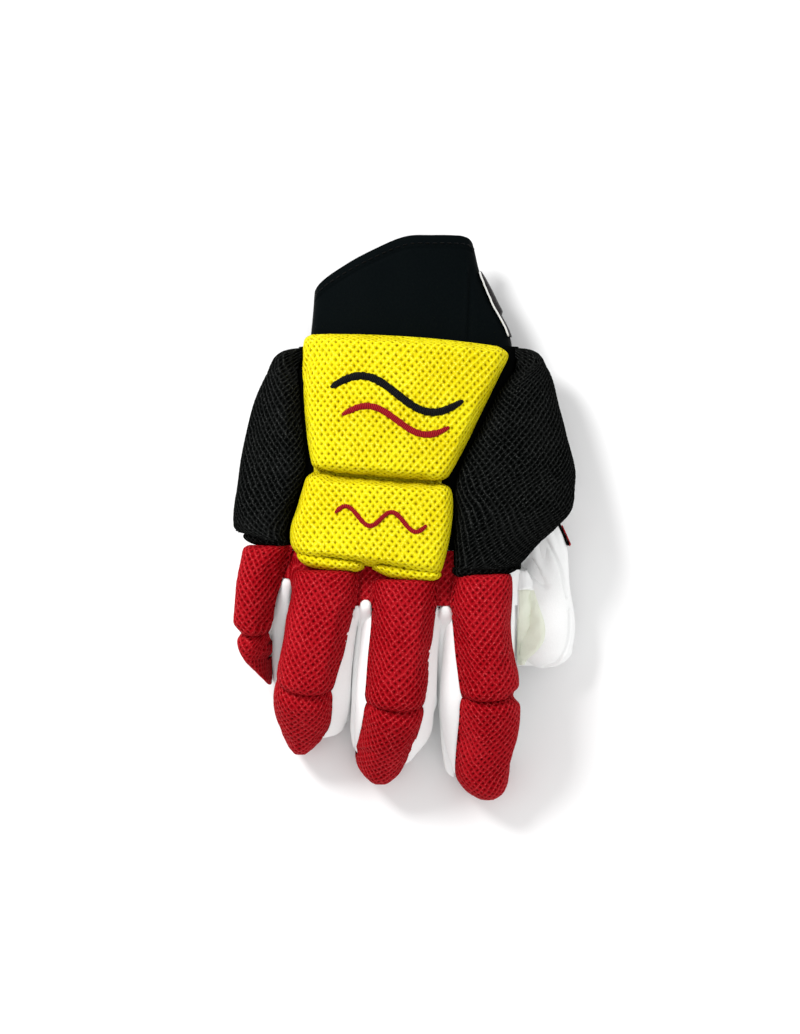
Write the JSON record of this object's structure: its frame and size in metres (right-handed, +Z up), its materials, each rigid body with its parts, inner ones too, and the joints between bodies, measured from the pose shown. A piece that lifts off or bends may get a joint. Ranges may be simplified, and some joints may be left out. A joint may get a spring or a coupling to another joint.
{
  "type": "roller hockey glove",
  "caption": "Right-hand roller hockey glove lying palm down, with foam pads and finger rolls in mesh cloth over a white leather palm, an open cuff and a wrist strap.",
  "frame": {"origin": "under the middle of the glove's bounding box, on the surface it lies on", "axes": "+Z up, away from the surface, with the back of the hand up; +Y towards the wrist, so the fingers point to -Y; +X towards the thumb"},
  "size_m": [0.151, 0.2496, 0.0623],
  "materials": {
    "cuff": "smooth stretch cloth over thin foam, slight sheen",
    "strap": "hook-and-loop strap with a white stitched edge",
    "white_leather": "soft smooth synthetic leather",
    "cream_leather": "slightly translucent grip film",
    "black_fabric": "plain knit cloth",
    "yellow_mesh": "thick spacer mesh over foam",
    "red_mesh": "thick spacer mesh over foam",
    "black_mesh": "thick spacer mesh over foam"
  },
  "bodies": {
    "root": {"cuff": "cuff", "wrist_strap": "strap", "palm": "white_leather", "back_panel": "black_fabric", "knuckle_panel": "red_mesh", "back_pad_upper": "yellow_mesh", "back_pad_lower": "yellow_mesh", "side_pad_little": "black_mesh", "side_pad_thumb": "black_mesh", "ring_tab": "yellow_mesh", "middle_tab": "yellow_mesh", "little_tab": "black_mesh", "index_tab": "black_mesh", "thumb_stall": "white_leather", "thumb_patch": "cream_leather", "thumb_pad": "black_mesh", "little_stall": "white_leather", "little_upper_roll": "red_mesh", "little_tip_roll": "red_mesh", "ring_stall": "white_leather", "ring_upper_roll": "red_mesh", "ring_tip_roll": "red_mesh", "middle_stall": "white_leather", "middle_upper_roll": "red_mesh", "middle_tip_roll": "red_mesh", "index_stall": "white_leather", "index_upper_roll": "red_mesh", "index_tip_roll": "red_mesh"}
  },
  "joints": []
}
